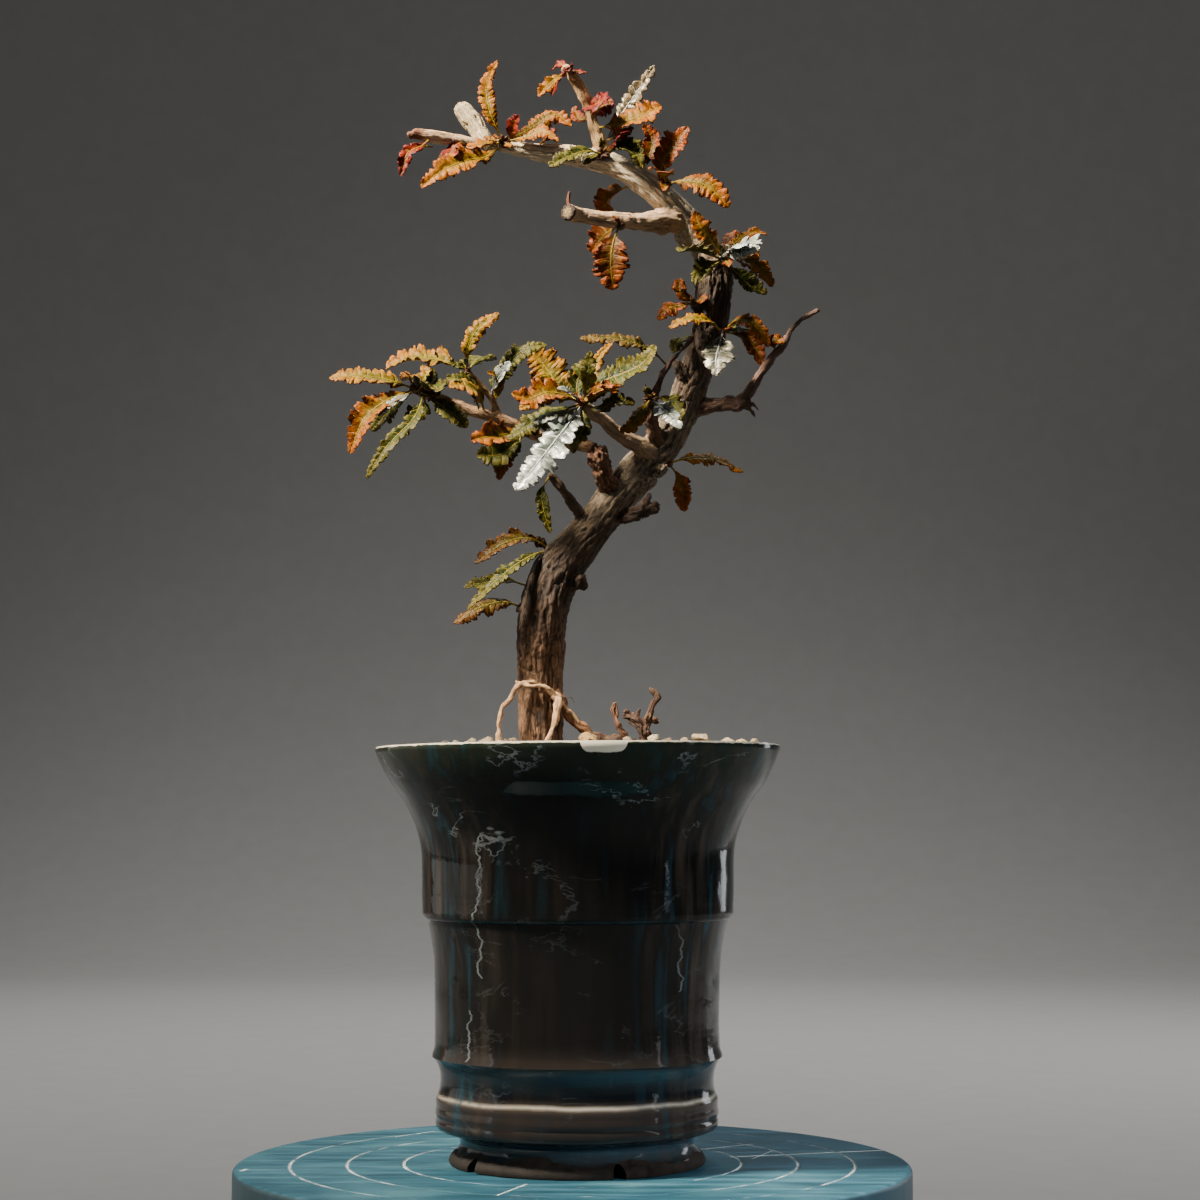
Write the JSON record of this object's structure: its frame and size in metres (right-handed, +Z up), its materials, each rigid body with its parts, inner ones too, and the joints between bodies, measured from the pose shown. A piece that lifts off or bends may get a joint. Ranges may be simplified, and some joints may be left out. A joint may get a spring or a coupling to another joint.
{
  "type": "boswellia bonsai",
  "caption": "Small bent boswellia tree with lobed leaves, in a tall flared glazed pot filled with gravel, standing on a banding wheel that turns.",
  "frame": {"origin": "centre of the flat underside of the banding wheel's foot, on the wheel's axis", "axes": "+Z up along the wheel's axis, -Y towards the viewer of the picture, +X to the viewer's right"},
  "size_m": [0.3, 0.3, 0.5627],
  "materials": {
    "foot_paint": "satin",
    "steel": "satin",
    "wheel_paint": "satin, brushed on, worn rings",
    "glaze": "gloss, dark green to black",
    "screen": "matte",
    "gravel": "matte, rough",
    "bark": "matte, fissured",
    "dry_root": "matte",
    "leaf_gold": "satin leaf",
    "leaf_amber": "satin leaf",
    "leaf_rust": "satin leaf",
    "leaf_red": "satin leaf",
    "leaf_green": "satin leaf",
    "leaf_silver": "satin leaf with a grey bloom"
  },
  "bodies": {
    "wheel_foot": {"turntable_foot": "foot_paint", "turntable_bearing": "steel"},
    "wheel_head": {"drain_screen": "screen", "dry_root_stump": "dry_root", "dry_root_twig": "dry_root", "leaf_back_crown": "leaf_amber", "leaf_back_low": "leaf_green", "leaf_back_middle": "leaf_gold", "leaf_back_upper": "leaf_green", "leaf_branch_left": "leaf_gold", "leaf_crown_silver": "leaf_silver", "leaf_end": "leaf_red", "leaf_end_small": "leaf_red", "leaf_fork_side": "leaf_silver", "leaf_hanging_back": "leaf_amber", "leaf_low": "leaf_green", "leaf_lowest": "leaf_amber", "leaf_rosette_silver": "leaf_silver", "leaf_shoulder": "leaf_rust", "leaf_stub_low": "leaf_green", "leaf_stub_silver": "leaf_silver", "leaf_tip_red": "leaf_red", "leaf_trunk_dark": "leaf_green", "leaf_trunk_silver": "leaf_silver", "leaf_twig": "leaf_green", "leaf_upright_back": "leaf_rust", "leaf_upright_gold": "leaf_gold", "leaf_upright_red": "leaf_red", "leaf_upright_silver": "leaf_silver", "pot": "glaze", "spray_crown": "leaf_amber", "spray_fork": "leaf_green", "spray_hanging": "leaf_rust", "spray_left_fork": "leaf_gold", "spray_left_tip": "leaf_gold", "spray_low_left": "leaf_amber", "spray_right_low": "leaf_amber", "spray_rosette": "leaf_amber", "spray_shoulder": "leaf_rust", "spray_stub": "leaf_green", "spray_tip": "leaf_gold", "spray_trunk_left": "leaf_rust", "spray_trunk_right": "leaf_rust", "spray_under": "leaf_green", "spray_upright_tip": "leaf_red", "substrate": "gravel", "tree_wood": "bark", "turntable_head": "wheel_paint", "turntable_spindle": "steel"}
  },
  "joints": [
    {"name": "wheel_turn", "type": "hinge", "parent": "wheel_foot", "child": "wheel_head", "pos_m": [0, 0, 0.03], "axis": [0, 0, 1], "continuous": true}
  ]
}
